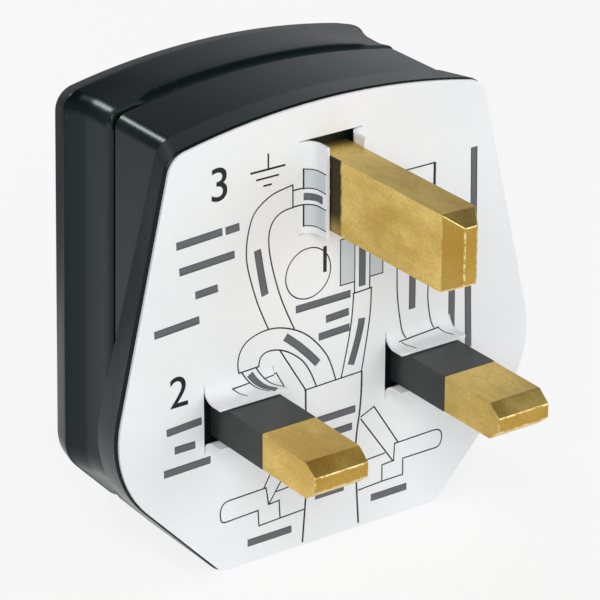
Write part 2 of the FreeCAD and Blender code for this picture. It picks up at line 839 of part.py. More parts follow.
def make_live_terminal():
    body = new_body("live_terminal", terminal_x, seat + s.clip_thickness, s.terminal_height)
    block = front_sketch(body, 0)
    centred(block, s.terminal_width, s.terminal_tall)
    pad(body, block, s.terminal_depth)
    tenon = front_sketch(body, 0)
    circle(tenon, 0, 0, s.tenon_radius)
    pad(body, tenon, s.clip_thickness, outwards=True)
    wire = new_sketch(body, "XY")
    circle(wire, 0, s.terminal_depth - s.wire_hole_depth, s.wire_hole_radius)
    bore_through(body, wire)
    screw = front_sketch(body, s.terminal_depth)
    circle(screw, 0, 0, s.terminal_screw_radius + s.thread_clearance)
    pocket(body, screw, s.wire_hole_depth, outwards=True)
    return body


# Screws and what holds them

def make_screw(label, place, radius, length, head_radius, head_height, head_outwards):
    """A slotted cheese head screw whose head bears on the plane through its origin."""
    body = new_body(label, *place)
    shank = front_sketch(body, 0)
    circle(shank, 0, 0, radius)
    pad(body, shank, length, outwards=not head_outwards)
    head = front_sketch(body, 0)
    circle(head, 0, 0, head_radius)
    pad(body, head, head_height, outwards=head_outwards)
    slot = front_sketch(body, -head_height if head_outwards else head_height)
    centred(slot, 2 * head_radius, s.screw_slot_width)
    pocket(body, slot, s.screw_slot_depth, outwards=not head_outwards)
    return body


def make_terminal_screw(label, place):
    return make_screw(label, place, s.terminal_screw_radius, s.terminal_screw_length,
                      s.terminal_screw_head_radius, s.terminal_screw_head_height, head_outwards=False)


def make_cover_screw():
    place = (screw_x, screw_seat, s.screw_height)
    return make_screw("cover_screw", place, s.screw_radius, s.screw_length,
                      s.screw_head_radius, s.screw_head_height, head_outwards=True)


def make_screw_retainer():
    body = new_body("screw_retainer", screw_x, boss_back, s.screw_height)
    ring = front_sketch(body, 0)
    circle(ring, 0, 0, s.retainer_radius)
    circle(ring, 0, 0, s.screw_radius + s.thread_clearance)
    pad(body, ring, s.retainer_thickness)
    return body


def make_cover_insert():
    body = new_body("cover_insert", screw_x, insert_front, s.screw_height)
    ring = front_sketch(body, 0)
    circle(ring, 0, 0, s.insert_radius)
    circle(ring, 0, 0, s.screw_radius + s.thread_clearance)
    pad(body, ring, s.insert_length)
    return body


# Cord grip: two sloping jaws, each with a foot held between ribs of the base

def make_jaw(label, side):
    body = new_body(label, 0, floor, 0)
    foot_top = -s.jaw_foot_drop
    foot_bottom = foot_top - s.jaw_foot_thickness
    section = front_sketch(body, 0)
    points = [
        (s.jaw_foot_inner, foot_bottom),
        (s.jaw_foot_outer, foot_bottom),
        (s.jaw_foot_outer, foot_top),
        (s.jaw_foot_inner + s.jaw_root_width, foot_top),
        (s.jaw_tip_half + s.jaw_tip_width, -s.jaw_tip_drop),
        (s.jaw_tip_half, -s.jaw_tip_drop),
    ]
    polygon(section, [(side * x, z) for x, z in points])
    pad(body, section, s.jaw_height)
    return body


bodies = [
    make_base(),
    make_cover(),
    make_wiring_card(),
    make_earth_pin(),
    make_live_pin(),
    make_neutral_pin(),
    make_sleeve("live_pin_sleeve", -pin_half),
    make_sleeve("neutral_pin_sleeve", pin_half),
    make_fuse_barrel(),
    make_fuse_cap("fuse_cap_lower", -s.cap_length / 2, upwards=True),
    make_fuse_cap("fuse_cap_upper", s.fuse_length - s.cap_length / 2, upwards=False),
    make_live_fuse_clip(),
    make_terminal_fuse_clip(),
    make_live_terminal(),
    make_terminal_screw("earth_terminal_screw", (0, head_back, s.earth_height)),
    make_terminal_screw("neutral_terminal_screw", (pin_half, head_back, 0)),
    make_terminal_screw("live_terminal_screw", (terminal_x, terminal_back, s.terminal_height)),
    make_cover_screw(),
    make_screw_retainer(),
    make_cover_insert(),
    make_jaw("cord_grip_jaw_left", -1),
    make_jaw("cord_grip_jaw_right", 1),
]
doc.recompute()

for item in doc.Objects:
    if "Invalid" in item.State or "Error" in item.State:
        raise RuntimeError("%s was not built: %s" % (item.Label, item.State))
for body in bodies:
    shape = body.Shape
    if shape.isNull() or not shape.isValid() or len(shape.Solids) != 1:
        raise RuntimeError("%s is not one valid solid" % body.Label)

os.makedirs("parts", exist_ok=True)
for body in bodies:
    body.Shape.exportStep(os.path.join("parts", body.Label + ".step"))
    print(body.Label, round(body.Shape.Volume, 1))
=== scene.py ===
import math
import bmesh
import bpy
from mathutils import Matrix, Vector


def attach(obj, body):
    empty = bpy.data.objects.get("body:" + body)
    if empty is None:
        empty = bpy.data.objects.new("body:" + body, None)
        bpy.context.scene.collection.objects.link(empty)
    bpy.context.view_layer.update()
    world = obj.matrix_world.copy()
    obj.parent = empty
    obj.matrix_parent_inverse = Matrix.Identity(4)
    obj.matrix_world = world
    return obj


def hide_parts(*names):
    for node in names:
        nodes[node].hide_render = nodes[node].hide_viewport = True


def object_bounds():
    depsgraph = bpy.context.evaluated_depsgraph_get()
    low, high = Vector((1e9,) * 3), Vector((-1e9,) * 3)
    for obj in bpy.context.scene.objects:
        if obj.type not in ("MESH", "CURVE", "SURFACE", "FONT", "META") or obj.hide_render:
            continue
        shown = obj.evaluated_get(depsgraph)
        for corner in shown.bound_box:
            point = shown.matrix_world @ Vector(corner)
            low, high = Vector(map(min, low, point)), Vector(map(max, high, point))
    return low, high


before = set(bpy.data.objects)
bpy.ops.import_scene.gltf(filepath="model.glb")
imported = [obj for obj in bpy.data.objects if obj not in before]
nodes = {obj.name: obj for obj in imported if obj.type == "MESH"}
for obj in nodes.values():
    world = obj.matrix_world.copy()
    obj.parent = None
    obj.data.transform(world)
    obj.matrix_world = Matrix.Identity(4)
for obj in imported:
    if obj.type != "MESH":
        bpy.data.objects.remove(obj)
cad_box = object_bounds()

MM = 0.001
BODY = "root"
FLOOR_LEVEL = cad_box[0][2]


# Materials

NOISE_ROUGHNESS = 0.55
COLOUR_A, COLOUR_B, COLOUR_RESULT = 6, 7, 2    # the Mix node's sockets for colours


class Flow:
    """An output socket of a material's nodes. Sums and products of flows add Math nodes."""

    def __init__(self, tree, socket=None):
        self.tree = tree
        self.socket = socket

    def node(self, kind, settings=None, inputs=None, output=0):
        """Adds a node: its type, its settings, then the values or links of its sockets."""
        made = self.tree.nodes.new("ShaderNode" + kind)
        for name, value in (settings or {}).items():
            setattr(made, name, value)
        for key, value in (inputs or {}).items():
            if isinstance(value, Flow):
                self.tree.links.new(value.socket, made.inputs[key])
            else:
                made.inputs[key].default_value = value
        return Flow(self.tree, made.outputs[output])

    def band(self, low, high):
        """0 below low, 1 above high, and smooth between."""
        settings = {"interpolation_type": "SMOOTHSTEP"}
        return self.node("MapRange", settings, {"Value": self, "From Min": low, "From Max": high})

    def maths(self, operation, first, second):
        return self.node("Math", {"operation": operation}, {0: first, 1: second})

    def __add__(self, other):
        return self.maths("ADD", self, other)

    def __sub__(self, other):
        return self.maths("SUBTRACT", self, other)

    def __mul__(self, other):
        return self.maths("MULTIPLY", self, other)

    def __rsub__(self, other):
        return self.maths("SUBTRACT", other, self)

    __radd__ = __add__
    __rmul__ = __mul__


class Finish:
    """A material of one surface, with the patterns that its colour and gloss are mixed from."""

    def __init__(self, name, **constants):
        self.material = bpy.data.materials.new(name)
        self.material.use_nodes = True
        self.tree = self.material.node_tree
        self.shader = self.tree.nodes["Principled BSDF"]
        self.flow = Flow(self.tree)
        self.place = self.flow.node("TexCoord", output="Object")
        for socket, value in constants.items():
            self.shader.inputs[socket.replace("_", " ")].default_value = value

    def noise(self, grain_mm, detail=3.0, stretch=(1.0, 1.0, 1.0)):
        """Soft noise whose patches are about so many millimetres across."""
        scaled = self.flow.node("Mapping", None, {"Vector": self.place, "Scale": stretch})
        sockets = {
            "Vector": scaled,
            "Scale": 1 / (grain_mm * MM),
            "Detail": detail,
            "Roughness": NOISE_ROUGHNESS,
        }
        return self.flow.node("TexNoise", None, sockets, "Fac")

    def along(self, axis):
        """How far a point lies along an axis of the row frame, in millimetres."""
        return self.flow.node("SeparateXYZ", None, {"Vector": self.place}, axis) * (1 / MM)

    def mix(self, factor, first, second):
        """Blends two colours."""
        sockets = {"Factor": factor, COLOUR_A: first, COLOUR_B: second}
        return self.flow.node("Mix", {"data_type": "RGBA"}, sockets, COLOUR_RESULT)

    def attribute(self, name):
        """A number that the mesh itself carries."""
        return self.flow.node("Attribute", {"attribute_name": name}, None, "Fac")

    def feed(self, socket, flow):
        self.tree.links.new(flow.socket, self.shader.inputs[socket])

    def colour(self, ground, *layers):
        """A ground and its layers: each has a pattern, how strongly it shows, and its colour."""
        for pattern, amount, shade in layers:
            ground = self.mix(pattern * amount, ground, shade)
        self.feed("Base Color", ground)

    def bump(self, height, depth_mm, strength):
        sockets = {"Height": height, "Distance": depth_mm * MM, "Strength": strength}
        self.feed("Normal", self.flow.node("Bump", None, sockets))


def rgb(red, green, blue):
    """A colour written as on a screen, 0 to 255, as the light value that a shader takes."""
    def linear(value):
        value = value / 255
        return value / 12.92 if value <= 0.04045 else ((value + 0.055) / 1.055) ** 2.4
    return (linear(red), linear(green), linear(blue), 1.0)


def moulded_black():
    cool = (0.74, 1.0, 0.99, 1.0)
    finish = Finish("moulded_black", Specular_IOR_Level=0.25, Specular_Tint=cool)
    cloud = finish.noise(14.0)
    grain = finish.noise(0.12, 2.0)
    scuff = finish.noise(1.1, 4.0, (1.0, 0.25, 0.5)).band(0.62, 0.8)
    dust = finish.noise(0.32, 2.0).band(0.72, 0.8)
    jet = finish.mix(cloud, rgb(7, 15, 15), rgb(14, 23, 23))
    finish.colour(jet, (scuff, 0.3, rgb(42, 51, 51)), (dust, 0.35, rgb(120, 124, 124)))
    finish.feed("Roughness", 0.2 + 0.08 * cloud + 0.06 * grain + 0.14 * scuff)
    finish.bump(grain + 0.5 * cloud, 0.008, 0.4)
    return finish.material


def white_card():
    finish = Finish("white_card", Specular_IOR_Level=0.3)
    cloud = finish.noise(9.0, 4.0)
    fibres = finish.noise(0.22, 3.0, (1.0, 1.0, 0.35))
    paper = finish.mix(cloud, rgb(236, 238, 240), rgb(244, 245, 246))
    finish.colour(paper, (fibres.band(0.35, 0.8), 0.25, rgb(226, 229, 233)))
    finish.feed("Roughness", 0.5 + 0.2 * fibres + 0.1 * cloud)
    finish.bump(fibres + cloud, 0.01, 0.4)
    return finish.material


def print_ink(name, dark, pale):
    """Ink that printed thinly in places."""
    finish = Finish(name, Specular_IOR_Level=0.3)
    dry = finish.noise(0.2, 3.0).band(0.5, 0.85)
    finish.colour(dark, (dry, 0.6, pale))
    finish.feed("Roughness", 0.45 + 0.25 * dry)
    return finish.material


# Painted shade on the earth pin's left face, a dark reflection of the shaded gap beside the earth
# flap, in millimetres: where each of its borders fades
GAP_SHADE_FRONT = (-4.75, -4.35)
GAP_SHADE_BACK = (-2.7, -2.5)
GAP_SHADE_SIDE = (-1.95, -1.8)
GAP_SHADE_FOOT = (17.0, 18.0)
GAP_SHADE_FULL = (18.6, 20.5)
GAP_SHADE_RAGGED = 0.9


def brass_with_wear_and_painted_light():
    """Drawn brass: sawn end darkened as painted shade, rubbed edges with painted glints, and
    painted shade beside the earth flap.
    """
    finish = Finish("brass_with_wear_and_painted_light", Metallic=1.0)
    cloud = finish.noise(4.5, 3.0, (1.0, 0.5, 1.0)).band(0.3, 0.7)
    grain = finish.noise(0.16, 3.0)
    drawn = finish.noise(0.5, 4.0, (1.0, 0.08, 1.0))
    spots = finish.noise(0.45, 4.0).band(0.6, 0.74)
    rubbed_and_glint = finish.attribute("rub_and_glint") * finish.noise(0.6, 3.0).band(0.4, 0.6)
    sawn_and_shaded = finish.attribute("sawn_and_shaded")
    ragged = finish.noise(1.2, 4.0) - 0.5
    x, height = finish.along("X"), finish.along("Z")
    depth = finish.along("Y") + GAP_SHADE_RAGGED * ragged
    # Painted shade: a dark patch where the pin mirrors the shaded gap beside the earth flap
    painted_gap_shade = depth.band(*GAP_SHADE_FRONT) * (1 - depth.band(*GAP_SHADE_BACK)) * (1 - x.band(*GAP_SHADE_SIDE))
    painted_gap_shade = painted_gap_shade * (0.55 + 0.45 * height.band(*GAP_SHADE_FULL)) * height.band(*GAP_SHADE_FOOT)
    finish.colour(
        finish.mix(cloud, rgb(214, 178, 90), rgb(250, 222, 134)),
        (grain.band(0.4, 0.75), 0.38, rgb(172, 126, 54)),
        (drawn.band(0.45, 0.8), 0.25, rgb(192, 148, 68)),
        (spots, 0.22, rgb(120, 82, 32)),
        # Sawn faces that point forwards, darkened as painted shade
        (sawn_and_shaded, 0.7, rgb(174, 136, 52)),
        # Painted glints: rubbed edges brightened, most at the pin's tip
        (rubbed_and_glint, 0.8, rgb(252, 230, 176)),
        # Painted shade: the dark patch beside the earth flap
        (painted_gap_shade, 0.95, rgb(34, 30, 24)),
    )
    finish.feed("Roughness", 0.3 + 0.12 * cloud + 0.12 * grain - 0.1 * rubbed_and_glint + 0.1 * sawn_and_shaded)
    finish.bump(grain + 0.6 * drawn, 0.01, 0.45)
    return finish.material


def dark_sleeve():
    finish = Finish("dark_sleeve", Specular_IOR_Level=0.4)
    cloud = finish.noise(4.0)
    grain = finish.noise(0.3, 3.0)
    finish.colour(finish.mix(cloud, rgb(35, 41, 39), rgb(51, 57, 54)))
    finish.feed("Roughness", 0.26 + 0.14 * cloud + 0.06 * grain)
    finish.bump(grain, 0.01, 0.3)
    return finish.material


def plain_metal(name, pale, dark, roughness):
    finish = Finish(name, Metallic=1.0)
    cloud = finish.noise(1.6, 4.0)
    turned = finish.noise(0.15, 3.0)
    finish.colour(finish.mix(cloud, pale, dark))
    finish.feed("Roughness", roughness + 0.16 * turned)
    finish.bump(turned, 0.006, 0.4)
    return finish.material


def plain_matt(name, pale, dark, roughness):
    finish = Finish(name)
    cloud = finish.noise(2.5, 4.0)
    grain = finish.noise(0.2, 3.0)
    finish.colour(finish.mix(cloud, pale, dark))
    finish.feed("Roughness", roughness + 0.15 * grain)
    finish.bump(grain, 0.01, 0.4)
    return finish.material


black = moulded_black()
card = white_card()
brass = brass_with_wear_and_painted_light()
sleeve = dark_sleeve()
ink = print_ink("print_ink", rgb(26, 27, 29), rgb(70, 72, 76))
word_ink = print_ink("word_ink", rgb(98, 101, 105), rgb(130, 133, 137))
tint = print_ink("print_tint", rgb(204, 210, 214), rgb(220, 224, 227))
clip_brass = plain_metal("clip_brass", rgb(214, 176, 98), rgb(176, 134, 66), 0.3)
screw_brass = plain_metal("screw_brass", rgb(222, 182, 106), rgb(182, 138, 70), 0.28)
screw_steel = plain_metal("screw_steel", rgb(196, 198, 202), rgb(150, 153, 158), 0.28)
plated = plain_metal("plated_cap", rgb(212, 212, 210), rgb(176, 176, 174), 0.2)
ceramic = plain_matt("fuse_ceramic", rgb(228, 224, 214), rgb(212, 206, 194), 0.4)
fibre = plain_matt("red_fibre", rgb(128, 58, 40), rgb(98, 42, 30), 0.6)
nylon = plain_matt("grip_nylon", rgb(224, 222, 212), rgb(204, 202, 192), 0.45)

# Pieces that are shown as the frame has them
KEPT_NODES = {
    "live_pin_sleeve": sleeve,
    "neutral_pin_sleeve": sleeve,
    "fuse_barrel": ceramic,
    "fuse_cap_lower": plated,
    "fuse_cap_upper": plated,
    "live_fuse_clip": clip_brass,
    "terminal_fuse_clip": clip_brass,
    "live_terminal": clip_brass,
    "earth_terminal_screw": screw_brass,
    "neutral_terminal_screw": screw_brass,
    "live_terminal_screw": screw_brass,
    "cover_screw": screw_steel,
    "screw_retainer": fibre,
    "cover_insert": clip_brass,
    "cord_grip_jaw_left": nylon,
    "cord_grip_jaw_right": nylon,
}


def dress(mesh, material):
    mesh.materials.clear()
    mesh.materials.append(material)


for name, material in KEPT_NODES.items():
    dress(nodes[name].data, material)


# Pieces that stand for a node, with softened edges. Lengths are in millimetres.

MERGE = 0.001                       # points closer than this are one
SLIVER = 0.002                      # edges shorter than this go
FLAT_WITHIN = math.radians(0.4)     # faces that turn by less are one face
SMOOTH_BELOW = math.radians(38)
RIDGE = math.radians(8)             # least turn of an edge that is softened on the body
PIN_RIDGE = math.radians(18)        # and on a pin
TIP = 0.2                           # the edges within this of a pin's end get the most rubbing and painted glint
RUB_AND_GLINT_AT_TIP, RUB_AND_GLINT_ELSEWHERE = 1.0, 0.3
FORWARD = 0.3                       # how far a sawn face, darkened as painted shade, points forwards, and at most up or down
DEPTH_SLACK = 0.03
BODY_MIDDLE = 6.0                   # height of the middle of the body


def add_piece(name, mesh, material):
    piece = bpy.data.objects.new(name, mesh)
    bpy.context.scene.collection.objects.link(piece)
    dress(mesh, material)
    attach(piece, BODY)
    return piece


def corners(faces):
    return (corner for face in faces for corner in face.loops)


def is_end(face):
    """Whether a face points forwards, and not much up or down."""
    return face.normal.y < -FORWARD and abs(face.normal.z) < FORWARD


def even_normals(piece):
    """Keeps flat faces flat beside softened edges."""
    piece.modifiers.new("even_normals", "WEIGHTED_NORMAL").keep_sharp = True


def softened(node, name, material, slot, *rounds, shaping=None):
    """Stands for a node: its own shape, after any shaping, with some of its edges made round.

    Each round is a test that picks edges, its width and its number of segments.
    """
    shape = bmesh.new()
    shape.from_mesh(nodes[node].data)
    bmesh.ops.remove_doubles(shape, verts=shape.verts, dist=MERGE * MM)
    bmesh.ops.dissolve_limit(shape, angle_limit=FLAT_WITHIN, verts=shape.verts, edges=shape.edges)
    if shaping:
        shaping(shape)
    # Rubbed edges, which the brass brightens as painted glints
    rub_and_glint = shape.loops.layers.float.new("rub_and_glint")
    # Forward faces, sawn, which the brass darkens as painted shade
    sawn_and_shaded = shape.loops.layers.float.new("sawn_and_shaded")
    tip = min(vertex.co.y for vertex in shape.verts)
    for picks, width, segments in rounds:
        edges = [edge for edge in shape.edges if len(edge.link_faces) == 2 and picks(edge)]
        made = bmesh.ops.bevel(shape, geom=edges, offset=width * MM, offset_type="OFFSET",
                               affect="EDGES", segments=segments, profile=0.5, material=-1,
                               clamp_overlap=True)
        for corner in corners(made["faces"]):
            at_tip = corner.vert.co.y < tip + TIP * MM
            corner[rub_and_glint] = RUB_AND_GLINT_AT_TIP if at_tip else RUB_AND_GLINT_ELSEWHERE
    bmesh.ops.dissolve_degenerate(shape, dist=SLIVER * MM, edges=shape.edges)
    for corner in corners(face for face in shape.faces if is_end(face)):
        corner[sawn_and_shaded] = 1.0
    mesh = bpy.data.meshes.new(name)
    shape.to_mesh(mesh)
    shape.free()
    mesh.shade_smooth()
    mesh.set_sharp_from_angle(angle=SMOOTH_BELOW)
    piece = add_piece(name, mesh, material)
    even_normals(piece)
    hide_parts(node)


def runs_at(edge, depth):
    return all(abs(vertex.co.y / MM - depth) < DEPTH_SLACK for vertex in edge.verts)


def faces_out(edge):
    """Whether an edge is on the outside of the body, not on the inner walls."""
    middle = (edge.verts[0].co + edge.verts[1].co) / 2
    outwards = Vector((middle.x, 0, middle.z - BODY_MIDDLE * MM))
    return sum((face.normal for face in edge.link_faces), Vector()).dot(outwards) > 0


def ridges_at(*depths):
    """A test for the outer ridges round the body at these depths behind the card's face."""
    def picks(edge):
        at_depth = any(runs_at(edge, depth) for depth in depths)
        return at_depth and edge.calc_face_angle_signed(0) > RIDGE and faces_out(edge)
    return picks


def pin_ridge(edge):
    """A test for the ridges of a pin in front of the card."""
    in_front = all(vertex.co.y < 0 for vertex in edge.verts)
    return in_front and edge.calc_face_angle_signed(0) > PIN_RIDGE


# Finger grips: how far the cover's sides draw in and its top rim lifts, at each depth
SIDE_DRAWN_IN = {
    12.7: 0.1,
    13.2: 0.3,
    14.1: 1.2,
    15.5: 1.15,
    17.0: 1.05,
    17.6: 0.93,
    18.8: 0.56,
    19.9: 0.18,
    20.3: 0.06,
    20.9: 0.0,
}
TOP_LIFT = {12.7: 0.9, 13.2: 0.75, 14.1: 0.0}
CUT_DEPTHS = (13.2, 15.5, 17.0, 17.6, 18.8, 19.9)    # where the cover gets new rings of points
SIDE_STARTS = (9, 16)               # over this distance sideways the drawing in sets in
TOP_STARTS = (16, 23)               # and over this height the lift


def between(table, depth):
    """A table's value at a depth, straight between the given depths, and 0 outside them."""
    given = sorted(table)
    for low, high in zip(given, given[1:]):
        if low <= depth <= high:
            share = (depth - low) / (high - low)
            return table[low] * (1 - share) + table[high] * share
    return 0.0


def blend(value, low, high):
    """0 below low, 1 above high, and smooth between."""
    share = min(max((value - low) / (high - low), 0), 1)
    return share * share * (3 - 2 * share)


def finger_grips(shape):
    """Draws the cover's sides in beside the joint, and lifts its top rim there."""
    for depth in CUT_DEPTHS:
        everything = shape.verts[:] + shape.edges[:] + shape.faces[:]
        bmesh.ops.bisect_plane(shape, geom=everything, dist=MERGE * MM,
                               plane_co=(0, depth * MM, 0), plane_no=(0, 1, 0))
    for vertex in shape.verts:
        x, depth, height = vertex.co / MM
        inwards = blend(abs(x), *SIDE_STARTS) * between(SIDE_DRAWN_IN, depth)
        vertex.co.x -= math.copysign(inwards * MM, x)
        vertex.co.z += blend(height, *TOP_STARTS) * between(TOP_LIFT, depth) * MM


FACE_EDGE = (ridges_at(0.3, 0.5), 0.07, 2)
BASE_RIM = (ridges_at(12.3), 0.16, 2)
COVER_BACK = (ridges_at(20.3, 22.4, 23.94, 24.5), 0.8, 3)
PIN_EDGES = (pin_ridge, 0.13, 2)

softened("base", "base_moulding", black, "housing", FACE_EDGE, BASE_RIM)
softened("cover", "cover_moulding", black, "housing", COVER_BACK, shaping=finger_grips)
for pin in ("earth_pin", "live_pin", "neutral_pin"):
    softened(pin, pin + "_bar", brass, "pin_brass", PIN_EDGES)
softened("wiring_card", "wiring_card_sheet", card, "card")


# Print on the card: plain outlines of the wires, blocks and grips, with bars and numerals.
# Points are x and height on the flat card, in millimetres. What lies on a flap bends with it.

BEND = 1.4                          # radius of a flap's fold on its printed side
FOLD = 3.785                        # from a pin's axis to the start of its flap's fold
PIN_SIDE = 11.115                   # lower pins, to each side of the middle
EARTH_HEIGHT = 22.23
EARTH_SLIT_HALF = 4.85              # half the width of a flap
SIDE_SLIT_HALF = 4.1
FLAT_INK = 0.16                     # how thick a stroke is, as a share of its width
FLAT_WORD = 0.03
FINE, LINE, SIGN, STRONG, HEAVY, WORD = 0.07, 0.08, 0.1, 0.11, 0.16, 0.42    # half widths
CURVE_STEPS = 10                    # pieces that a stroke has from point to point


def bent(travel, lift):
    """How far a point gets along the card and out of it, once its flap has curled."""
    turn = min(max(travel, 0) / BEND, math.pi / 2)
    past = max(travel - BEND * math.pi / 2, 0)
    return (BEND - lift) * math.sin(turn), BEND - (BEND - lift) * math.cos(turn) + past


def on_card(x, height, lift):
    """Place in the row frame of a point of the flat card."""
    earth = abs(height - EARTH_HEIGHT) < EARTH_SLIT_HALF
    if earth and -FOLD < x < 0:
        along, out = bent(x + FOLD, lift)
        return Vector((along - FOLD, -out, height)) * MM
    for side in (-PIN_SIDE, PIN_SIDE):
        if abs(x - side) < SIDE_SLIT_HALF and 0 < height < FOLD:
            along, out = bent(FOLD - height, lift)
            return Vector((x, -out, FOLD - along)) * MM
    return Vector((x, -lift, height)) * MM


def drawing(name):
    """An empty curve whose strokes are as wide as each point's radius says."""
    curve = bpy.data.curves.new(name, "CURVE")
    curve.dimensions = "3D"
    curve.twist_mode = "Z_UP"
    curve.bevel_depth = 1.0
    curve.bevel_resolution = 1
    curve.use_fill_caps = True
    curve.resolution_u = CURVE_STEPS
    return curve


def stroke(curve, points, half, cyclic=False):
    """A line that curves smoothly past its points."""
    spline = curve.splines.new("NURBS")
    spline.points.add(len(points) - 1)
    for point, place in zip(spline.points, points):
        point.co = (place[0], place[1], 0, 1)
        point.radius = half
    spline.order_u = 3
    spline.use_endpoint_u = not cyclic
    spline.use_cyclic_u = cyclic


def ruled(curve, points, half):
    """Straight lines from point to point, with square corners."""
    for start, stop in zip(points, points[1:]):
        start, stop = Vector(start), Vector(stop)
        reach = (stop - start).normalized() * half
        middle = (start + stop) / 2
        stroke(curve, [start - reach, middle, stop + reach], half)


CIRCLE_MIDDLE = Vector((-2.7, 12.85))
CIRCLE_RADIUS = 2.78
CIRCLE_POINTS = 16

# Each line has its half width and its points
CURVED = (
    # earth wire
    (LINE, [(-4.6, 22.8), (-6.1, 22.6), (-7.2, 22.3), (-8.4, 21.6), (-9.3, 20.7), (-9.8, 19.3),
            (-10.1, 17.6), (-10.1, 15.7), (-9.3, 12.6), (-8.5, 10.2), (-7.5, 7.95)]),
    (LINE, [(-4.5, 20.4), (-5.5, 20.4), (-6.6, 19.9), (-7.2, 19.1), (-7.5, 17.9), (-7.3, 15.6),
            (-6.4, 12.1), (-5.5, 9.6), (-4.4, 7.2)]),
    # neutral wire
    (LINE, [(-11.1, 4.1), (-11.4, 5.4), (-10.4, 7.4), (-7.7, 8.1), (-5.3, 7.6), (-2.9, 6.3),
            (-1.0, 4.2), (0.1, 2.4), (0.7, 0.2)]),
    (LINE, [(-8.7, 4.2), (-8.7, 4.9), (-8.0, 5.6), (-6.4, 5.5), (-4.5, 4.5), (-2.6, 2.6),
            (-1.7, 0.1)]),
    # live wire
    (LINE, [(2.9, 9.2), (2.8, 7.2), (2.3, 3.9), (1.4, 0.15)]),
    (LINE, [(5.1, 9.3), (5.1, 7.3), (4.7, 4.3), (3.95, 0.2)]),
    # sheath of the cord
    (STRONG, [(4.0, 0.2), (4.0, -3.2), (3.2, -7.7), (3.4, -12.5), (3.7, -17.3)]),
    (STRONG, [(-3.0, 0.0), (-3.0, -3.2), (-2.7, -8.0), (-3.0, -12.5), (-3.4, -17.4)]),
    # fuse
    (LINE, [(8.3, 17.6), (8.3, 10.7), (8.4, 6.4), (9.2, 2.6)]),
    (LINE, [(12.3, 17.6), (12.3, 7.6), (12.3, 5.4), (12.9, 2.8)]),
)
RULED = (
    # earth sign
    (SIGN, [(-7.45, 26.7), (-7.45, 25.15)]),
    (STRONG, [(-9.45, 25.15), (-5.55, 25.15)]),
    (SIGN, [(-8.8, 24.3), (-6.3, 24.3)]),
    (SIGN, [(-7.95, 23.5), (-7.15, 23.5)]),
    # earth block and bare end
    (STRONG, [(-3.3, 24.2), (-3.3, 22.2)]),
    (STRONG, [(-3.3, 20.4), (-3.3, 18.2)]),
    (LINE, [(-3.3, 24.2), (-0.5, 24.2)]),
    (LINE, [(-3.3, 18.2), (-0.5, 18.2)]),
    (LINE, [(-4.5, 22.2), (-0.5, 22.2)]),
    (LINE, [(-4.5, 20.45), (-0.5, 20.45)]),
    (LINE, [(-4.55, 22.8), (-4.55, 20.4)]),
    # neutral block and bare end
    (LINE, [(-11.1, 4.1), (-8.7, 4.2)]),
    (LINE, [(-10.7, 4.0), (-8.9, 0.9)]),
    (LINE, [(-9.0, 4.1), (-7.0, 0.7)]),
    (LINE, [(-11.3, 1.3), (-12.1, 2.7), (-10.2, 2.8)]),
    (FINE, [(-8.3, 2.8), (-6.6, 2.9), (-5.4, 0.7)]),
    (LINE, [(-6.1, 5.2), (-3.0, 0.0)]),
    # live block and bare end
    (LINE, [(3.0, 15.5), (1.25, 15.5), (1.25, 10.5), (3.0, 10.5)]),
    (LINE, [(4.9, 15.5), (6.5, 15.5), (6.5, 10.6), (4.9, 10.6)]),
    (LINE, [(3.0, 15.5), (3.0, 9.3)]),
    (LINE, [(4.9, 15.5), (4.9, 9.4)]),
    (LINE, [(2.85, 9.2), (5.15, 9.3)]),
    # sheath
    (LINE, [(3.95, 0.2), (-3.1, 0.0)]),
    # fuse caps
    (LINE, [(8.3, 2.4), (13.4, 2.7), (14.2, 1.0)]),
    (LINE, [(8.5, 2.2), (9.1, 0.6)]),
    (LINE, [(12.9, 21.15), (7.9, 21.15), (7.9, 17.6), (12.9, 17.6)]),
    (HEAVY, [(12.9, 17.6), (12.9, 21.0)]),
    # right grip
    (LINE, [(3.95, -5.0), (5.6, -4.3), (8.7, -9.25)]),
    (LINE, [(3.95, -5.3), (8.05, -11.25)]),
    (LINE, [(8.3, -9.35), (13.3, -9.25)]),
    (LINE, [(13.6, -11.4), (9.4, -11.4), (9.4, -13.3), (6.7, -13.3), (6.7, -11.4), (8.2, -11.3),
            (8.3, -9.35)]),
    (LINE, [(4.8, -10.2), (7.0, -10.1)]),
    (LINE, [(3.7, -13.45), (6.7, -13.3)]),
    # left grip
    (LINE, [(-3.2, -4.9), (-5.0, -4.1), (-8.2, -9.7)]),
    (LINE, [(-3.2, -5.3), (-7.6, -11.7)]),
    (LINE, [(-7.9, -9.7), (-12.3, -9.8)]),
    (LINE, [(-12.9, -12.15), (-8.9, -12.0), (-8.8, -13.8), (-6.2, -13.7), (-6.3, -11.6),
            (-7.6, -11.7), (-7.9, -9.7)]),
    (LINE, [(-6.6, -10.5), (-4.6, -10.4)]),
    (LINE, [(-6.2, -13.7), (-3.2, -13.6)]),
)
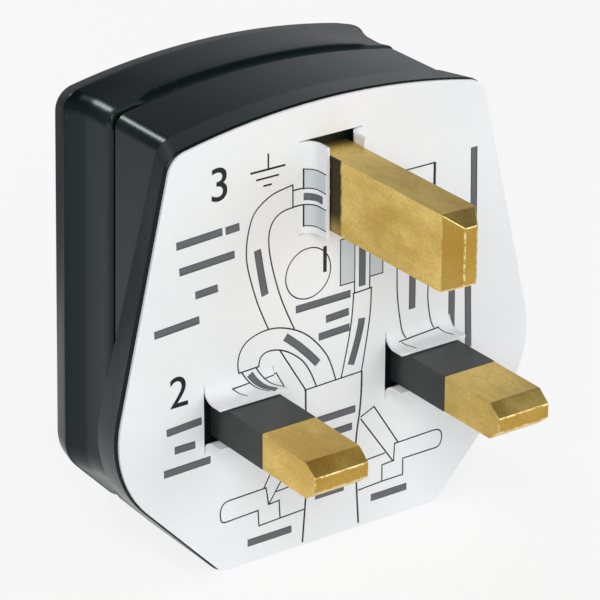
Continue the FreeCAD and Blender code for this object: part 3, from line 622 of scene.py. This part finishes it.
# Outer ends of the grips
ROUND_ENDS = (
    [(13.3, -9.25), (14.0, -9.25), (14.5, -9.9), (14.4, -10.8), (14.1, -11.4), (13.5, -11.4)],
    [(-12.3, -9.8), (-13.0, -9.8), (-13.5, -10.6), (-13.5, -11.5), (-13.3, -12.15),
     (-12.8, -12.15)],
)
WORD_BARS = (
    [(-17.8, 19.6), (-13.3, 19.85)],
    [(-12.1, 19.85), (-11.3, 19.9)],
    [(-17.5, 16.8), (-11.9, 17.1)],
    [(-15.7, 13.9), (-13.9, 14.0)],
    [(-20.5, 10.85), (-16.1, 11.15)],
    [(-3.8, 9.25), (2.1, 9.3)],
    [(-0.1, 7.25), (1.9, 7.35)],
    [(-1.0, 5.5), (2.0, 5.6)],
    [(-7.9, 11.8), (-8.3, 13.6), (-8.8, 16.9)],
    [(-5.5, 6.6), (-3.5, 5.0), (-1.5, 2.6)],
    [(-9.6, 3.3), (-8.3, 1.1)],
    [(3.95, 10.2), (3.95, 13.9)],
    [(2.6, 1.3), (3.7, 4.4), (3.95, 6.2)],
    [(10.3, 6.0), (10.3, 12.0)],
    [(15.45, 1.3), (15.4, 5.9)],
    [(17.7, -0.4), (17.5, 6.0)],
    [(18.05, 13.3), (17.9, 21.3)],
    [(-1.6, -3.9), (2.8, -3.85)],
    [(-1.2, -5.8), (2.4, -5.75)],
    [(-1.4, -12.5), (1.4, -12.5)],
    [(-9.8, -15.4), (-5.2, -15.4)],
    [(5.7, -14.85), (9.5, -14.85)],
    [(-19.3, -0.1), (-16.0, 0.1)],
    [(-18.4, -2.3), (-16.8, -2.3)],
    [(-19.7, -4.6), (-15.0, -4.5)],
    [(-2.9, 21.3), (-1.4, 21.3)],
)
lines = drawing("wiring_lines")
for half, points in CURVED:
    stroke(lines, points, half)
for half, points in RULED:
    ruled(lines, points, half)
for points in ROUND_ENDS:
    stroke(lines, points, LINE)
turns = [index * math.tau / CIRCLE_POINTS for index in range(CIRCLE_POINTS)]
ring = [CIRCLE_MIDDLE + CIRCLE_RADIUS * Vector((math.cos(turn), math.sin(turn))) for turn in turns]
stroke(lines, ring, FINE, cyclic=True)
words = drawing("word_bars")
for points in WORD_BARS:
    if len(points) == 2:
        ruled(words, points, WORD)
    else:
        stroke(words, points, WORD)


def as_mesh(name, data):
    """The mesh of a curve or a text. The object that holds the curve meanwhile is removed."""
    holder = bpy.data.objects.new(name, data)
    bpy.context.scene.collection.objects.link(holder)
    bpy.context.view_layer.update()
    seen = holder.evaluated_get(bpy.context.evaluated_depsgraph_get())
    mesh = bpy.data.meshes.new_from_object(seen)
    bpy.data.objects.remove(holder)
    return mesh


def print_piece(name, mesh, material, flatten):
    """Lays a flat drawing on the card: x and y become the card's x and height, z its thickness."""
    for vertex in mesh.vertices:
        vertex.co = on_card(vertex.co.x, vertex.co.y, vertex.co.z * flatten)
    mesh.name = name
    add_piece(name, mesh, material)


print_piece("wiring_lines", as_mesh("wiring_lines", lines), ink, FLAT_INK)
print_piece("word_bars", as_mesh("word_bars", words), word_ink, FLAT_WORD)

# Plain numbers for the three terminals: the live, the neutral and the earth, with place and size
NUMERALS = (
    ("1", (-1.7, 12.5), 4.1),
    ("2", (-19.4, 2.4), 4.8),
    ("3", (-14.4, 23.2), 5.0),
)
INK_LIFT = 0.015
INK_SPREAD = 0.01
NOT_FLATTENED = 1.0
for digit, place, size in NUMERALS:
    text = bpy.data.curves.new("numeral_" + digit, "FONT")
    text.body = digit
    text.size = size
    text.offset = INK_SPREAD
    text.extrude = INK_LIFT
    mesh = as_mesh("numeral_" + digit, text)
    mesh.transform(Matrix.Translation((*place, 0)))
    print_piece("numeral_" + digit, mesh, ink, NOT_FLATTENED)

# Pale fields of the terminal blocks, from corner to corner
TINTS = (
    ((-3.3, 18.2), (-0.5, 20.4)),
    ((-3.3, 22.2), (-0.5, 24.2)),
    ((1.25, 10.5), (3.0, 15.5)),
    ((4.9, 10.6), (6.5, 15.5)),
)
TINT_LIFT = 0.008
TINT_CUTS = 12                      # so that a field can bend with its flap
fields = bmesh.new()
for low, high in TINTS:
    low, high = Vector(low), Vector(high)
    middle = (low + high) / 2
    half = (high - low) / 2
    place = Matrix.Translation((*middle, 0)) @ Matrix.Diagonal((half.x, half.y, TINT_LIFT, 1))
    made = bmesh.ops.create_cube(fields, size=2.0, matrix=place)
    across = [edge for edge in {edge for vertex in made["verts"] for edge in vertex.link_edges}
              if abs(edge.verts[0].co.x - edge.verts[1].co.x) > half.x]
    bmesh.ops.subdivide_edges(fields, edges=across, cuts=TINT_CUTS, use_grid_fill=True)
field_mesh = bpy.data.meshes.new("wiring_fields")
fields.to_mesh(field_mesh)
fields.free()
print_piece("wiring_fields", field_mesh, tint, NOT_FLATTENED)


# Stage: a pale floor, a grey room, soft lamps and the camera. Places are in millimetres.

FLOOR_HALF = 3.0                    # in metres
FLOOR_GLOW = 0.85                   # share of the floor that is plain white to the camera
MIRROR_SHADE = rgb(130, 130, 130)   # the floor behind the plug, as its sides mirror it
SHADE_SLANT = 0.9
SHADE_STARTS = (38.0, 66.0)         # over this distance behind the plug the shade sets in
ROOM_DIM, ROOM_BRIGHT = 0.35, 0.7
ROOM_TURN = (-0.2, 0.1)             # where the dim side of the room turns to the bright one
ROOM_CEILING = (0.35, 0.8)          # where the room turns to the dark overhead
ROOM_DARKENING = 0.85
LAMP_TARGET = Vector((0, 5, 6))
CAMERA_PLACE = (-172.78, -243.20, 145.19)
CAMERA_LOOKS = (0.5194, 0.7471, -0.4147)
CAMERA_LENS, CAMERA_SENSOR = 195.7, 36.0
CAMERA_NEAR = 0.01                  # in metres


def aim(thing, place_mm, towards):
    thing.location = Vector(place_mm) * MM
    thing.rotation_euler = Vector(towards).to_track_quat("-Z", "Y").to_euler()


def stage_floor():
    shape = bmesh.new()
    bmesh.ops.create_grid(shape, x_segments=1, y_segments=1, size=FLOOR_HALF)
    bmesh.ops.translate(shape, verts=shape.verts, vec=(0, 0, FLOOR_LEVEL))
    mesh = bpy.data.meshes.new("studio_floor")
    shape.to_mesh(mesh)
    shape.free()
    floor = bpy.data.objects.new("studio_floor", mesh)
    bpy.context.scene.collection.objects.link(floor)
    finish = Finish("studio_floor", Roughness=0.9, Specular_IOR_Level=0.0)
    finish.colour(finish.mix(finish.noise(40.0), rgb(240, 240, 240), rgb(244, 244, 244)))
    outputs = finish.flow.node("LightPath").socket.node.outputs
    kinds = ("Is Camera Ray", "Is Glossy Ray", "Is Transmission Ray")
    direct, glossy, passing = (Flow(finish.tree, outputs[kind]) for kind in kinds)
    shade = (finish.along("Y") + SHADE_SLANT * finish.along("X")).band(*SHADE_STARTS)
    white = finish.mix(shade * glossy, (1, 1, 1, 1), MIRROR_SHADE)
    glow = finish.flow.node("Emission", None, {"Color": white, "Strength": 1.0})
    seen = direct + glossy + passing
    shader = Flow(finish.tree, finish.shader.outputs[0])
    mixed = finish.flow.node("MixShader", None, {0: seen * FLOOR_GLOW, 1: shader, 2: glow})
    finish.tree.links.new(mixed.socket, finish.tree.nodes["Material Output"].inputs["Surface"])
    dress(mesh, finish.material)


def room_light():
    """A grey room, bright at the front and the right, dim overhead and at the back left."""
    world = bpy.data.worlds.new("studio_room")
    world.use_nodes = True
    tree = world.node_tree
    flow = Flow(tree)
    direction = flow.node("TexCoord", output="Generated")
    parts = flow.node("SeparateXYZ", None, {"Vector": direction}).socket.node.outputs
    x, y, z = (Flow(tree, part) for part in parts)
    sideways = (0.8 * x - 0.6 * y).band(*ROOM_TURN)
    overhead = z.band(*ROOM_CEILING)
    strength = ROOM_DIM + (ROOM_BRIGHT - ROOM_DIM) * sideways
    strength = strength * (1 - ROOM_DARKENING * overhead)
    seen = flow.node("LightPath", output="Is Camera Ray")
    backdrop = tree.nodes["Background"]
    backdrop.inputs["Color"].default_value = rgb(250, 251, 253)
    tree.links.new((strength * (1 - seen) + seen).socket, backdrop.inputs["Strength"])
    bpy.context.scene.world = world


def soft_lamp(name, place_mm, size, power):
    data = bpy.data.lights.new(name, "AREA")
    data.shape = "RECTANGLE"
    data.size, data.size_y = size
    data.energy = power
    lamp = bpy.data.objects.new(name, data)
    bpy.context.scene.collection.objects.link(lamp)
    aim(lamp, place_mm, LAMP_TARGET - Vector(place_mm))


def photo_camera():
    data = bpy.data.cameras.new("photo_camera")
    data.sensor_width = CAMERA_SENSOR
    data.lens = CAMERA_LENS
    data.clip_start = CAMERA_NEAR
    camera = bpy.data.objects.new("photo_camera", data)
    bpy.context.scene.collection.objects.link(camera)
    aim(camera, CAMERA_PLACE, CAMERA_LOOKS)
    bpy.context.scene.camera = camera


stage_floor()
room_light()
soft_lamp("front_lamp", (-260, -420, 320), (0.35, 0.35), 1.75)
soft_lamp("right_lamp", (300, -460, 160), (0.35, 0.35), 0.55)
soft_lamp("back_lamp", (-112, 348, 285), (0.1, 0.1), 0.6)
photo_camera()
bpy.context.scene.view_settings.view_transform = "Standard"
